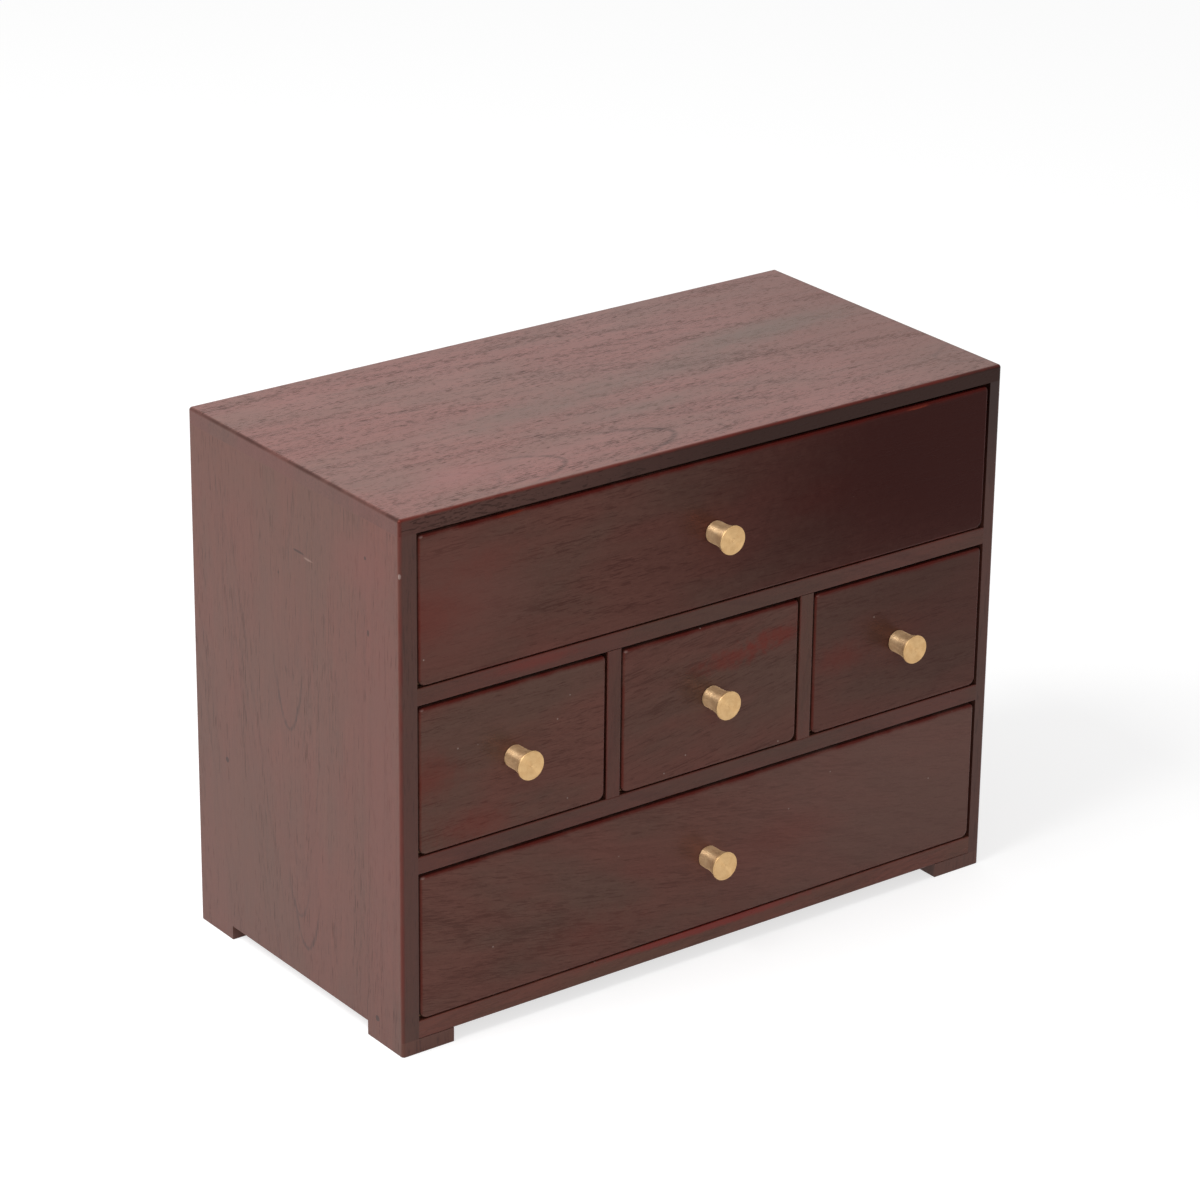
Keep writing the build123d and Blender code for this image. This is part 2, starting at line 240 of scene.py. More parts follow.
def boardFinish(name, node, look, marks=(), tongues=()):
    # colour = the stain, which goes from red to olive and pink with two cloud noises, times a shade of fibres
    #     # and speckle; then the dark rings, single tongues and pores, the marks (among them painted shade, a
    #     # painted sheen and painted highlights), the faces' tones, the edge colours (worn red edges, dark
    #     lines,
    #     # and a painted shadow along the drawer fronts' top edges) and the dust are each blended over what is
    #     # under them by their own share
    settings = {**boardLook, **look}
    low, high = [[value / mm for value in corner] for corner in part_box(node)]
    material, tree, shader = newFinish(name)
    place = objectPlace(tree)
    depthAxis = ({"x", "y", "z"} - {settings["along"], settings["across"]}).pop()
    seed = settings["seed"] * woodRule["seedStep"]
    along, across, depth = place[settings["along"]], place[settings["across"]], place[depthAxis]
    if settings["tilt"]:  # the grain runs a few degrees off the board's edge
        turn = math.radians(settings["tilt"])
        along, across = (
            total(tree, times(tree, along, math.cos(turn)), times(tree, across, math.sin(turn))),
            total(tree, times(tree, across, math.cos(turn)), times(tree, along, -math.sin(turn))),
        )

    # slow wander of the grain, in millimetres to each side; a noise is 0.5 on average, so half is taken off
    wander = grainNoise(tree, "wander", along, across, seed)
    ripple = grainNoise(tree, "ripple", along, across, seed)
    wide, narrow = woodRule["sway"]
    sway = total(tree, times(tree, wander, wide), times(tree, ripple, narrow), -0.5 * (wide + narrow))
    middle = total(tree, times(tree, along, settings["lean"]), settings["centre"])
    sideways = total(tree, across, times(tree, middle, -1.0), sway)
    arm = calc(tree, "SQRT", total(tree, times(tree, sideways, sideways), settings["round"] ** 2))
    tongue = total(tree, times(tree, along, settings["way"]), times(tree, arm, settings["steep"]),
                   times(tree, depth, woodRule["slant"]))
    bands = grainNoise(tree, "bands", tongue, sideways, seed)
    rings = ramp(tree, bands, *woodRule["ringRamp"])

    # pores: short dark dashes along the grain, in fine and in coarse sizes, crowding in streets and rings
    grain = total(tree, across, times(tree, sway, woodRule["poreSway"]))
    fineDashes, coarseDashes = [
        noise(tree, vector(tree, times(tree, along, settings["poreAlong"] * perAlong),
                           times(tree, grain, settings["poreAcross"] * perAcross),
                           total(tree, times(tree, depth, woodRule["poreSlant"]), seed + shift)), detail=1.0)
        for perAlong, perAcross, shift in woodRule["dashes"]
    ]
    streets = grainNoise(tree, "streets", along, grain, seed)
    inRings, inStreets, fewer = woodRule["crowd"]
    crowd = total(tree, times(tree, rings, inRings), times(tree, streets, inStreets),
                  settings["poreAmount"] + fewer)
    coarse = ramp(tree, total(tree, coarseDashes, crowd), *woodRule["coarseRamp"])
    fine = ramp(tree, total(tree, fineDashes, crowd), *woodRule["fineRamp"])
    pores = calc(tree, "MAXIMUM", coarse, times(tree, fine, woodRule["fineShow"]))
    fromEnd = calc(tree, "MINIMUM", *[faceGap(tree, place, low, high, settings["along"] + end)
                                      for end in "-+"])
    pores = times(tree, pores, ramp(tree, fromEnd, *woodRule["endRamp"]))

    # clouds that the stain left, streaks of fibre, and a fine speckle
    clouds = grainNoise(tree, "clouds", along, across, seed)
    blush = grainNoise(tree, "blush", along, across, seed)
    fibres = grainNoise(tree, "fibres", along, grain, seed, depth)
    speckle = grainNoise(tree, "speckle", along, grain, seed, depth)
    softSpeckle = grainNoise(tree, "softSpeckle", along, grain, seed)
    colour = blend(tree, ramp(tree, clouds, *woodRule["cloudRamp"], 0.0, settings["oliveShare"]),
                   settings["red"], settings["olive"])
    colour = blend(tree, ramp(tree, blush, *woodRule["blushRamp"], 0.0, settings["pinkShare"]),
                   colour, settings["pink"])

    # the shade is 1 on average: every noise times its share and the swing, less half of these shares
    swing, shares = settings["toneSwing"], woodRule["shades"]
    swings = [times(tree, field, share * swing)
              for field, share in zip((fibres, softSpeckle, speckle, bands), shares)]
    shade = total(tree, *swings, 1.0 - 0.5 * sum(shares) * swing)
    colour = brighten(tree, colour, times(tree, shade, settings["tone"]))
    colour = blend(tree, times(tree, rings, settings["tongueShow"]), colour, settings["deep"])

    # single dark tongues, each a parabola about its own tip, thinned by its slope and fading along its arms
    for single in tongues:
        aside = total(tree, across, -single["across"], times(tree, ripple, woodRule["tipSway"]),
                      -0.5 * woodRule["tipSway"])
        bend = times(tree, times(tree, aside, aside), 0.5 / single["round"])
        inward = total(tree, times(tree, total(tree, along, -single["along"]), single["way"]),
                       times(tree, bend, -1.0))
        lean = times(tree, aside, 1.0 / single["round"])
        slope = calc(tree, "SQRT", total(tree, times(tree, lean, lean), 1.0))
        gap = calc(tree, "ABSOLUTE", calc(tree, "DIVIDE", inward, slope))
        frayed = total(tree, gap, times(tree, fineDashes, woodRule["tipFray"]), -0.5 * woodRule["tipFray"])
        line = times(tree, ramp(tree, frayed, single["width"], 0.0),
                     ramp(tree, coarseDashes, *woodRule["tipGapRamp"]))
        fade = ramp(tree, bend, single["reach"], single["reach"] * woodRule["tipFade"])
        colour = blend(tree, times(tree, times(tree, line, fade), single["show"]), colour, settings["deep"])

    colour = blend(tree, times(tree, pores, settings["poreShow"]), colour, settings["deep"])

    # soft patches, spots and scratches at their own places; among the patches are painted shade and a painted
    # sheen, and among the spots painted highlights
    rough = noise(tree, scaled(tree, place, woodRule["tornBumps"]), detail=3.0, roughness=0.6)
    for mark in marks:
        apart = tree.nodes.new("ShaderNodeVectorMath")
        apart.operation = "DISTANCE"
        stretched = [times(tree, place[a], s) for a, s in zip("xyz", mark["stretch"])]
        plug(tree, apart.inputs[0], vector(tree, *stretched))
        apart.inputs[1].default_value = [c * s for c, s in zip(mark["at"], mark["stretch"])]
        torn = total(tree, apart.outputs["Value"], times(tree, rough, mark["torn"]), -0.5 * mark["torn"])
        inside = ramp(tree, torn, mark["size"] + mark["soft"], mark["size"] - mark["soft"])
        colour = blend(tree, times(tree, inside, mark["show"]), colour, mark["colour"])

    for face, faceTone in settings["faceTones"]:  # end grain and narrow edges took the stain darker
        away = faceGap(tree, place, low, high, face)
        colour = brighten(tree, colour, ramp(tree, away, *woodRule["faceRamp"], faceTone, 1.0))

    # edge colours blended in patches: worn edges, dark lines, and a painted shadow along the drawer fronts'
    # top edges
    edgePatches = noise(tree, scaled(tree, place, woodRule["edgePatchBumps"]), detail=4.0, roughness=0.65)
    for faces, edgeColour, width, show in settings["edges"]:
        mask = edgeMask(tree, place, low, high, faces, width, edgePatches)
        colour = blend(tree, times(tree, mask, show), colour, edgeColour)

    if settings["dust"]:  # a few pale specks in the lacquer
        grains = tree.nodes.new("ShaderNodeTexVoronoi")
        grains.inputs["Scale"].default_value = 1.0
        plug(tree, grains.inputs["Vector"], scaled(tree, place, woodRule["dustBumps"]))
        speck = ramp(tree, grains.outputs["Distance"], *woodRule["dustRamp"])
        colour = blend(tree, times(tree, speck, settings["dust"]), colour, dustSpeck)

    plug(tree, shader.inputs["Base Color"], colour)
    plug(tree, shader.inputs["Roughness"],
         total(tree, settings["gloss"], times(tree, pores, woodRule["poreGloss"]),
               times(tree, softSpeckle, woodRule["speckleGloss"])))
    shader.inputs["IOR"].default_value = settings["bend"]
    shader.inputs["Specular Tint"].default_value = (*settings["sheenTint"], 1)

    # pores sink a few hundredths of a millimetre, and the planed and brushed face waves very gently
    waves = noise(tree, scaled(tree, place, woodRule["waveBumps"]), detail=1.0)
    broad = bump(tree, waves, settings["wave"] * mm)
    sunk = total(tree, times(tree, pores, -settings["poreShow"]), times(tree, fibres, woodRule["fibreDepth"]))
    plug(tree, shader.inputs["Normal"], bump(tree, sunk, woodRule["poreDepth"] * mm, under=broad))
    return material


def spot(at, size, colour, show=0.8, stretch=(1, 1, 1), torn=0.6, soft=0.25):
    # a mark: everything within size of its place, with distances stretched along each axis; its outline fades
    # over soft to each side and a noise moves it by up to half of torn
    return {"at": at, "size": size, "colour": colour, "show": show, "stretch": stretch, "torn": torn,
            "soft": soft}


def tongueTip(along, across, way, bend=2.1, reach=26.0, show=0.6, width=0.8):
    # a tongue: along = place of its tip plus way * sideways^2 / (2 * bend)
    return {"along": along, "across": across, "way": way, "round": bend, "reach": reach, "show": show,
            "width": width}


def dress(node, material):
    # gives the node's every slot the material
    for slot in nodes[node].material_slots:
        slot.material = material


# Colours of marks and edges
darkSpeck, dustSpeck, paleScratch = (0.018, 0.006, 0.005), (0.42, 0.34, 0.30), (0.26, 0.16, 0.13)
# the first colour of this line is a pale chip on the left side's front corner, and a painted highlight on each
# drawer front's upper left corner
paleChipAndHighlight, orangeChip = (0.45, 0.36, 0.32), (0.30, 0.045, 0.018)
# the last colour of this line is painted shade: the lacquer's sheen fading towards the right, painted in as
# darker colour on the fronts, the top's front face and the right side's front edge
redPatch, railRed, paintedShade = (0.150, 0.016, 0.010), (0.190, 0.0130, 0.0090), (0.010, 0.0020, 0.0015)
redEdge, darkEdge = (0.105, 0.0085, 0.0055), (0.026, 0.0080, 0.0062)
# the last colour of this line is painted shade, darkening the right part of the top where less light falls
topOlive, topPink, topPaintedShade = (0.116, 0.079, 0.062), (0.231, 0.092, 0.084), (0.112, 0.042, 0.028)
sideOlive, sidePink = (0.082, 0.042, 0.028), (0.150, 0.042, 0.034)
# the first colour of this line is a painted sheen, lightening the top drawer's left end
frontPaintedSheen, frontPale = (0.150, 0.066, 0.054), (0.150, 0.085, 0.071)
# the second colour of this line is a painted shadow along each drawer front's top edge, under the rail above
frontEdge, railShadowEdge = (0.085, 0.0080, 0.0050), (0.060, 0.0050, 0.0035)

# Where the marked faces lie: the height of the top, x of the left side, y of the fronts
topFace, sideFace, frontFace = 232.4, -152.5, -70

topLook = {
    "across": "y", "seed": 1.0, "centre": -52.0, "steep": 3.0, "round": 13.0,
    "edges": ((("x-", "x+", "z+"), darkEdge, 1.5, 0.9), (("y-", "z+"), redEdge, 1.3, 0.8),
              (("x-", "y-"), redEdge, 1.5, 0.5)),
    "red": (0.194, 0.080, 0.068), "olive": (0.149, 0.083, 0.066), "pink": (0.229, 0.095, 0.084),
    "deep": (0.045, 0.017, 0.013), "oliveShare": 0.55, "pinkShare": 0.5, "toneSwing": 0.45,
    "faceTones": (("y-", 0.40), ("x-", 0.60), ("x+", 0.60)), "poreShow": 0.85, "poreAmount": 0.02,
    "poreAlong": 0.26, "poreAcross": 1.8, "tongueShow": 0.12, "gloss": 0.30, "bend": 1.38,
    "sheenTint": (1.0, 0.50, 0.40),
}
topMarks = [
    # painted shade: the right part of the top is darkened where the light falls off
    spot((165, 20, topFace), 55, topPaintedShade, 0.5, (0.8, 0.5, 0), 20, 45),
    # painted shade: the top's front face darkens towards its right end, where its sheen fades
    spot((130, frontFace, 228), 90, paintedShade, 0.95, (0.5, 100, 1), 10, 40),
    spot((-40, -2, topFace), 9, topOlive, 0.55, (0.22, 1, 0), 10, 8),
    spot((30, 6, topFace), 8, topOlive, 0.45, (0.2, 1, 0), 10, 7),
    spot((98, 21, topFace), 8, topOlive, 0.7, (0.22, 1, 0), 10, 7),
    spot((2, -24, topFace), 6, topOlive, 0.45, (0.2, 1, 0), 8, 5),
    spot((-108, -44, topFace), 9, topPink, 0.6, (0.45, 1, 0), 8, 8),
    spot((-134, -30, topFace), 9, topOlive, 0.3, (0.6, 0.5, 0), 8, 8),
]
topTongues = [
    tongueTip(-94.5, -53, -1, 5.0, 30, 0.5, 1.5), tongueTip(-62.5, -53, -1, 4.6, 34, 0.85, 1.7),
    tongueTip(-8.5, -53, -1, 4.4, 42, 1.0, 2.0), tongueTip(134.5, -50, 1, 4.4, 50, 0.8, 1.7),
]

sideLook = {
    "along": "z", "across": "y", "seed": 2.0, "centre": -3.0, "lean": 0.085, "way": -1.0, "steep": 9.0,
    "round": 19.0, "edges": ((("x-", "y-", "y+"), redEdge, 1.7, 0.6),), "faceTones": (("y-", 0.58),),
    "sheenTint": (1.0, 0.72, 0.66),
    "red": (0.118, 0.040, 0.0285), "olive": (0.096, 0.043, 0.030), "pink": (0.136, 0.041, 0.030),
    "deep": (0.030, 0.012, 0.010), "oliveShare": 0.6, "pinkShare": 0.4, "toneSwing": 0.4,
    "poreShow": 0.45, "poreAmount": -0.02, "poreAlong": 0.12, "poreAcross": 1.6, "tongueShow": 0.14,
    "gloss": 0.32,
}
sideTongues = [
    tongueTip(115.6, 10, 1, 2.1, 34, 0.85, 1.3), tongueTip(33.6, 4, 1, 2.1, 22, 0.6, 1.2),
    tongueTip(20.6, -1, 1, 2.2, 26, 0.8, 1.3),
]
sideMarks = [
    spot((sideFace, 62, 215), 12, sideOlive, 0.25, (0, 0.35, 1), 10, 10),
    spot((sideFace, 10, 190), 26, sideOlive, 0.25, (0, 1, 0.7), 16, 20),
    spot((sideFace, 45, 60), 24, sideOlive, 0.4, (0, 1, 0.6), 16, 20),
    spot((sideFace, -42, 206), 10, sidePink, 0.35, (0, 0.6, 1), 9, 8),
    spot((sideFace, -58, 120), 12, sidePink, 0.4, (0, 1, 0.15), 12, 10),
    spot((sideFace, -52, 10.5), 1.3, darkSpeck, torn=0.3),
    spot((sideFace, 58, 83.5), 1.2, darkSpeck, torn=0.3),
    spot((sideFace, -48, 178), 0.7, darkSpeck, stretch=(1, 1, 0.5)),
    spot((sideFace, -46.4, 209), 0.7, darkSpeck),
    spot((sideFace, 16, 182), 0.5, darkSpeck, 0.6),
    spot((sideFace, 1.0, 195.9), 0.45, darkSpeck, 0.85, (1, 0.14, 1), 0.5, 0.2),
    spot((sideFace, -6.0, 194.6), 0.4, paleScratch, 0.6, (1, 0.14, 1), 0.5, 0.2),
    spot((-152.2, -69.6, 209), 0.6, paleChipAndHighlight, 0.95, (1, 1, 0.6)),
]

railLook = {
    "seed": 3.0, "centre": 70.0, "edges": ((("y-", "z-", "z+"), redEdge, 0.8, 0.35),), "oliveShare": 0.9,
    "olive": (0.056, 0.0260, 0.0160), "red": (0.080, 0.0250, 0.0170), "poreShow": 0.3, "dust": 0.5,
    "bend": 1.42, "sheenTint": (1.0, 0.60, 0.55), "pinkShare": 0.1,
}
uprightLook = {**railLook, "along": "z", "across": "x", "edges": ((("y-", "x-", "x+"), redEdge, 0.8, 0.35),)}
frontLook = {
    "centre": 20.0,
    # the second edge colour is a painted shadow along the front's top edge, under the rail above
    "edges": ((("x-", "x+", "y-", "z-", "z+"), frontEdge, 1.3, 0.7), (("y-", "z+"), railShadowEdge, 2.4, 0.85)),
    "red": (0.111, 0.0530, 0.0415), "olive": (0.089, 0.0580, 0.0450), "pink": (0.148, 0.0530, 0.0430),
    "deep": (0.022, 0.0075, 0.0060), "oliveShare": 0.85, "pinkShare": 0.3, "bend": 1.35,
    "sheenTint": (1.0, 0.22, 0.16), "poreShow": 0.45, "dust": 0.6, "tongueShow": 0.12, "toneSwing": 0.45,
    "poreAlong": 0.16, "poreAcross": 1.5, "poreAmount": -0.01,
}
# Red stain patches and painted-shade patches of the fronts: how torn their outlines are, and their softness as
# a share of their size
redTorn, redSoft, shadeTorn, shadeSoft = 10, 0.9, 24, 0.62


def frontMarks(node, reds, paintedShades=()):
    # a drawer front's patches: reds are red stain, and the second list is painted shade where a front's sheen
    #     # fades towards its right end; both are rows of (x, z, size, show, stretch along x), and a painted
    #     # highlight sits on the upper left corner
    low, high = [[value / mm for value in corner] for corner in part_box(node)]
    marks = [spot((x, low[1], z), size, redPatch, show, (stretch, 1, 1), redTorn, size * redSoft)
             for x, z, size, show, stretch in reds]
    # painted shade: dark patches where a front's sheen fades towards its right end
    marks += [spot((x, low[1], z), size, paintedShade, show, (stretch, 1, 1), shadeTorn, size * shadeSoft)
              for x, z, size, show, stretch in paintedShades]
    # painted highlight: a small pale spot on the front's upper left corner
    corner = (low[0] + 1.2, low[1] + 0.2, high[2] - 0.8)
    return marks + [spot(corner, 0.45, paleChipAndHighlight, 0.8, (0.5, 1, 1), 0.8, 0.3)]


# Every stained board: its look, its marks and its single tongues
boards = {
    "top_panel": (topLook, topMarks, topTongues),
    "left_side_panel": (sideLook, sideMarks, sideTongues),
    "right_side_panel": (
        {**sideLook, "seed": 2.6, "centre": 10.0, "edges": ((("x+", "y-", "y+"), redEdge, 1.7, 0.6),)},
        # painted shade: the top of the right side's front edge darkens where its sheen fades
        [spot((149.5, frontFace, 240), 50, paintedShade, 0.9, (0, 20, 1), 15, 30)],
        [tongueTip(150, 18, 1), tongueTip(64, 12, 1, 2.6, 30, 0.5)],
    ),
    "bottom_panel": (
        {**railLook, "seed": 3.1, "tone": 1.65},
        [spot((0, frontFace, 13.4), 1.6, railRed, 0.8, (0.032, 1, 1), 1.5, 0.8)], [],
    ),
    "lower_shelf": ({**railLook, "seed": 3.4}, [], []),
    "upper_shelf": (
        {**railLook, "seed": 3.8},
        [spot((-88, frontFace, 157.6), 2.2, redPatch, 0.55, (0.12, 1, 1), 2, 1.5)], [],
    ),
    "left_divider": ({**uprightLook, "seed": 4.1}, [], []),
    "right_divider": ({**uprightLook, "seed": 4.5, "tone": 1.2}, [], []),
    "top_drawer_front": (
        {**frontLook, "seed": 6.1, "bend": 1.32, "sheenTint": (1.0, 0.12, 0.08)},
        # painted sheen: a lighter patch on the top drawer's left end, where its lacquer reflects the most
        # light
        [spot((-126, frontFace, 192), 22, frontPaintedSheen, 0.7, (0.7, 1, 1), 10, 18)] + frontMarks(
            "top_drawer_front",
            [(-145, 188, 10, 0.3, 0.5), (-112, 205, 5, 0.15, 0.3), (60, 196, 6, 0.3, 0.35)],
            # painted shade at the right end
            [(150, 205, 72, 0.97, 0.50)],
        ) + [spot((-101.5, frontFace, 223.4), 0.65, orangeChip, 0.9, (0.10, 1, 1)),
             spot((106.3, frontFace, 223.0), 0.65, orangeChip, 0.8, (0.12, 1, 1))], [],
    ),
    "middle_left_drawer_front": (
        {**frontLook, "seed": 6.3, "tone": 1.05},
        frontMarks("middle_left_drawer_front", [(-142, 120, 8, 0.4, 0.6), (-118, 94, 6, 0.3, 0.35)]), [],
    ),
    "middle_centre_drawer_front": (
        {**frontLook, "seed": 6.5, "tilt": 8.0, "tone": 0.96},
        frontMarks("middle_centre_drawer_front", [(12, 134, 3.5, 0.5, 0.25), (34, 138, 3.5, 0.55, 0.3)]), [],
    ),
    "middle_right_drawer_front": (
        {**frontLook, "seed": 6.7, "tone": 0.82},
        # the second list is painted shade at the right end
        frontMarks("middle_right_drawer_front", [(70, 120, 5, 0.3, 0.5)], [(150, 145, 45, 0.4, 0.6)]), [],
    ),
    "bottom_drawer_front": (
        {**frontLook, "seed": 6.9, "tilt": -11.0, "tone": 1.05, "poreShow": 0.38, "poreAmount": 0.02},
        [spot((115, frontFace, 50), 55, frontPale, 0.5, (0.6, 1, 1), 20, 40)] + frontMarks(
            "bottom_drawer_front", [(-60, 30, 7, 0.15, 0.3), (40, 45, 7, 0.15, 0.3)],
        ), [],
    ),
}
for node, (look, marks, tongues) in boards.items():
    dress(node, boardFinish("stained_" + node, node, look, marks, tongues))

# the foot blocks were stained together with the sides, so their colour runs on
footLook = {**sideLook, "edges": (), "faceTones": (("y-", 0.90),)}
for side in ("left", "right"):
    for end in ("front", "back"):
        node = f"{end}_{side}_foot"
        marks = sideMarks if node == "front_left_foot" else []
        dress(node, boardFinish("stained_" + node, node, footLook, marks))
print("stained boards dressed")


# Bare wood of the drawer boxes, and plywood
bareLook = {
    "red": (0.36, 0.20, 0.105), "olive": (0.30, 0.175, 0.095), "deep": (0.17, 0.085, 0.045),
    "pink": (0.44, 0.27, 0.155), "gloss": 0.55, "bend": 1.4,
    "poreShow": 0.45, "tongueShow": 0.2, "centre": 90.0, "wave": 0.05,
}
boxSide = boardFinish("box_side_wood", "top_drawer_left_side", {
    **bareLook, "along": "y", "across": "z", "seed": 8.1})
boxBack = boardFinish("box_back_wood", "top_drawer_back", {**bareLook, "seed": 8.4})
boxFloor = boardFinish("box_floor_ply", "top_drawer_bottom", {
    **bareLook, "across": "y", "seed": 8.7, "toneSwing": 0.3})
backBoard = boardFinish("back_board_ply", "back_panel", {
    **bareLook, "along": "x", "across": "z", "seed": 9.1, "tone": 0.5, "red": (0.30, 0.12, 0.075),
    "olive": (0.25, 0.12, 0.075), "centre": 120.0, "steep": 3.0, "round": 25.0})


steelLook = {"screw": (0.55, 0.54, 0.50), "screwGloss": 0.3, "pin": (0.05, 0.018, 0.014), "pinGloss": 0.45,
             "bumps": 1.3, "darker": 0.75, "span": (0.3, 0.7), "rougher": 0.15}


def metalFinish(name, colour, roughness):
    # plain metal: a fine noise blends the colour with a darker one, and adds up to rougher to the roughness
    material, tree, shader = newFinish(name)
    grain = noise(tree, scaled(tree, objectPlace(tree), steelLook["bumps"]), detail=3.0)
    darker = tuple(channel * steelLook["darker"] for channel in colour)
    plug(tree, shader.inputs["Base Color"], blend(tree, grain, colour, darker))
    plug(tree, shader.inputs["Roughness"],
         ramp(tree, grain, *steelLook["span"], roughness, roughness + steelLook["rougher"]))
    shader.inputs["Metallic"].default_value = 1.0
    return material


screwSteel = metalFinish("screw_steel", steelLook["screw"], steelLook["screwGloss"])
pinSteel = metalFinish("pin_steel", steelLook["pin"], steelLook["pinGloss"])
for drawer in drawerNames:
    for piece, material in (("left_side", boxSide), ("right_side", boxSide), ("back", boxBack),
                            ("bottom", boxFloor), ("knob_screw", screwSteel), ("pins", pinSteel)):
        dress(f"{drawer}_{piece}", material)
# the carcass pins were stained over with the sides, and only the two marked heads came out dark
stainedPins = boardFinish("stained_pins", "left_side_panel",
                          {**sideLook, "edges": (), "faceTones": ()}, sideMarks)
for node, material in (("back_panel", backBoard), ("carcass_pins", stainedPins), ("back_panel_pins", pinSteel),
                       ("top_dowels", boxSide)):
    dress(node, material)
print("box wood, plywood and steel dressed")


# Turned brass knobs
knobForm = {
    "baseEdge": 0.5, "bodyRadius": 4.8, "bodyLength": 4.5, "headRadius": 6.25, "rim": 0.8,
    "length": 12.0, "faceEdge": 0.35, "dimpleRadius": 0.8, "dimpleDepth": 0.25, "crown": 0.12,
    "turns": 128, "boreRadius": 2.0, "rimBack": 0.6,
    "points": {"foot": 5, "edge": 7, "barrel": 10, "cove": 22, "face": 40, "dimple": 8},
}
brassLook = {
    "bright": (0.92, 0.66, 0.39), "dull": (0.80, 0.54, 0.30), "line": (0.44, 0.25, 0.10),
    "faceTone": (0.73, 0.68, 0.57), "faceStart": (13.0, 15.0), "gloss": (0.40, 0.58), "brushed": 0.80,
    "round": 1.5, "outward": 7.0, "tarnishBumps": 0.35, "patchRamp": (0.35, 0.7),
    "lineRamp": (0.45, 0.8, 0.0, 0.5), "glossRamp": (0.3, 0.7), "quarterTurn": 0.25, "lineDepth": 0.02,
}


def arc(centre, radius, start, end, count):
    # points on a circle between two angles, as rows of (radius from the axis, length)
    angle = np.linspace(start, end, count)
    return np.stack([centre[0] + radius * np.cos(angle), centre[1] + radius * np.sin(angle)], 1)


def knobProfile(form):
    # rows of (radius from the axis, distance in front of the drawer), from the bore's mouth to the middle of
    # the face: a straight barrel, a hollow curve (circle through the barrel's end and the rim's back edge,
    # in line with the barrel), a thin rim, a face that swells with 1 - r^2, and a cosine dimple
    body, head, length = form["bodyRadius"], form["headRadius"], form["length"]
    base, edge, points = form["baseEdge"], form["faceEdge"], form["points"]
    foot = np.stack([np.linspace(form["boreRadius"], body - base, points["foot"]),
                     np.zeros(points["foot"])], 1)
    footEdge = arc((body - base, base), base, -math.pi / 2, 0, points["edge"])
    barrel = np.stack([np.full(points["barrel"], body),
                       np.linspace(base, form["bodyLength"], points["barrel"])], 1)
    out, rise = head - body, length - form["rim"] - form["bodyLength"]
    coveRadius = (out ** 2 + rise ** 2) / (2 * out)
    cove = arc((body + coveRadius, form["bodyLength"]), coveRadius, math.pi,
               math.pi - math.asin(rise / coveRadius), points["cove"])
    rim = np.array([[head, length - form["rim"] * form["rimBack"]], [head, length - edge]])
    rimEdge = arc((head - edge, length - edge), edge, 0, math.pi / 2, points["edge"])
    flat = np.linspace(head - edge, form["dimpleRadius"], points["face"])
    face = np.stack([flat, length + form["crown"] * (1 - (flat / (head - edge)) ** 2)], 1)
    inner = np.linspace(form["dimpleRadius"], 0.0, points["dimple"])
    dip = form["dimpleDepth"] * (0.5 + 0.5 * np.cos(math.pi * inner / form["dimpleRadius"]))
    dimple = np.stack([inner, length + form["crown"] - dip], 1)
    rows = np.concatenate([foot, footEdge[1:], barrel[1:], cove[1:], rim, rimEdge[1:], face[1:],
                           dimple[1:-1]])
    return rows, dimple[-1]


def lathe(name, rows, tip, axisPoint, turns):
    # the profile turned about an axis along -Y: x = radius * cos(angle), z = radius * sin(angle);
    # in the map named turned, u goes round and v is the length along the profile
    angle = np.arange(turns) / turns * 2 * math.pi
    radius, out = rows[:, 0][:, None], rows[:, 1][:, None]
    x = axisPoint[0] + radius * np.cos(angle) * mm
    z = axisPoint[2] + radius * np.sin(angle) * mm
    y = axisPoint[1] - out * mm + 0 * angle
    end = [[axisPoint[0], axisPoint[1] - tip[1] * mm, axisPoint[2]]]
    points = np.concatenate([np.stack([x, y, z], 2).reshape(-1, 3), end])
    i, j = np.meshgrid(np.arange(len(rows) - 1), np.arange(turns), indexing="ij")
    after = (j + 1) % turns
    quads = np.stack([i * turns + j, i * turns + after, (i + 1) * turns + after, (i + 1) * turns + j], 2)
    ring = np.arange(turns)
    last = (len(rows) - 1) * turns
    tips = np.stack([last + ring, last + (ring + 1) % turns, np.full(turns, len(points) - 1)], 1)
    mesh = bpy.data.meshes.new(name)
    mesh.from_pydata(points.tolist(), [], quads.reshape(-1, 4).tolist() + tips.tolist())
    along = np.concatenate([[0], np.cumsum(np.hypot(*np.diff(rows, axis=0).T))])
    u = np.stack([j, j + 1, j + 1, j], 2) / turns
    v = np.stack([along[i], along[i], along[i + 1], along[i + 1]], 2)
    tipU = np.stack([ring, ring + 1, ring + 0.5], 1) / turns
    tipV = np.stack([np.full(turns, along[-1]), np.full(turns, along[-1]),
                     np.full(turns, along[-1] + rows[-1, 0])], 1)
    layer = mesh.uv_layers.new(name="turned")
    flat = np.concatenate([np.stack([u, v], 3).reshape(-1), np.stack([tipU, tipV], 2).reshape(-1)])
    layer.data.foreach_set("uv", flat.astype(np.float32))
    mesh.update()
    piece = bpy.data.objects.new(name, mesh)
    bpy.context.scene.collection.objects.link(piece)
    mesh.shade_smooth()
    return piece


